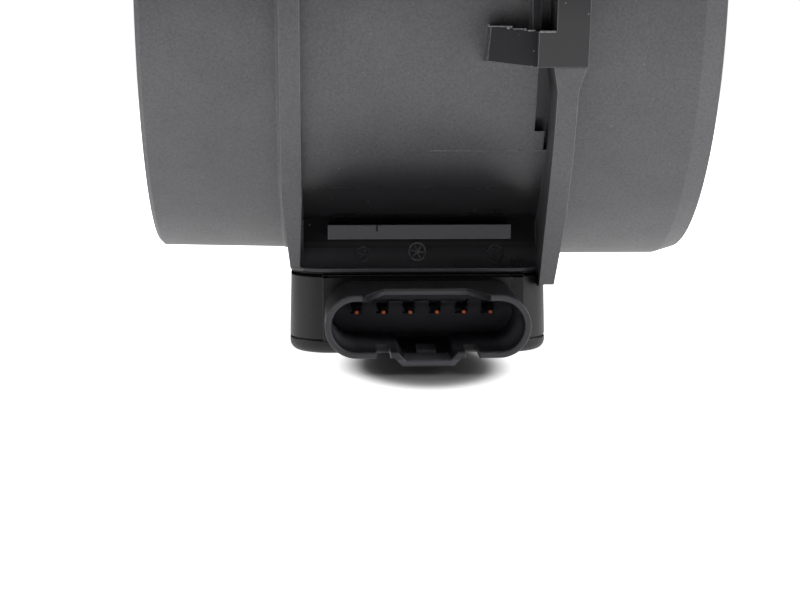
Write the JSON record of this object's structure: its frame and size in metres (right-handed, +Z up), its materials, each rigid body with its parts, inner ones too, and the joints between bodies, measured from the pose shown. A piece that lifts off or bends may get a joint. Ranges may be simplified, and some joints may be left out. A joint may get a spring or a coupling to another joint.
{
  "type": "mass airflow sensor",
  "caption": "Round moulded duct with a flange, spring clip lugs and a honeycomb inlet, standing on a flat hot-film sensor module with an open plug socket.",
  "frame": {"origin": "on the resting face of the module cover, under the middle of the duct", "axes": "+X along the duct towards the inlet, -Y towards the plug socket, +Z up"},
  "size_m": [0.0782, 0.102, 0.1068],
  "materials": {
    "duct_plastic": "moulded, fine grained, charcoal",
    "module_plastic": "moulded, satin, charcoal",
    "cover_plastic": "moulded, fine grained, black",
    "probe_plastic": "moulded, satin, black",
    "grille_plastic": "moulded, satin, black",
    "seal_rubber": "soft, matt black",
    "spring_steel": "bright",
    "screw_steel": "zinc plated",
    "carrier_ceramic": "fired ceramic, off-white",
    "chip_glass": "polished film chip",
    "bead_glass": "glazed bead",
    "plate_aluminium": "rolled sheet",
    "board_ceramic": "hybrid ceramic board",
    "component_resin": "moulded resin package",
    "capacitor_ceramic": "ceramic block",
    "terminal_bronze": "bare copper alloy",
    "ribbon_aluminium": "bonded ribbon"
  },
  "bodies": {
    "root": {"tube_housing": "duct_plastic", "flow_grille": "grille_plastic", "snap_ring": "spring_steel", "module_housing": "module_plastic", "module_cover": "cover_plastic", "cover_gasket": "seal_rubber", "module_screws": "screw_steel", "probe_seal": "seal_rubber", "bypass_body": "probe_plastic", "bypass_cover": "probe_plastic", "sensor_carrier": "carrier_ceramic", "sensor_chip": "chip_glass", "air_thermistor": "bead_glass", "base_plate": "plate_aluminium", "circuit_board": "board_ceramic", "signal_processor": "component_resin", "power_transistor": "component_resin", "capacitor_1": "capacitor_ceramic", "capacitor_2": "capacitor_ceramic", "capacitor_3": "capacitor_ceramic", "terminal_1": "terminal_bronze", "terminal_2": "terminal_bronze", "terminal_3": "terminal_bronze", "terminal_4": "terminal_bronze", "terminal_5": "terminal_bronze", "terminal_6": "terminal_bronze", "bond_ribbon_1": "ribbon_aluminium", "bond_ribbon_2": "ribbon_aluminium", "bond_ribbon_3": "ribbon_aluminium", "bond_ribbon_4": "ribbon_aluminium", "bond_ribbon_5": "ribbon_aluminium", "bond_ribbon_6": "ribbon_aluminium"}
  },
  "joints": []
}
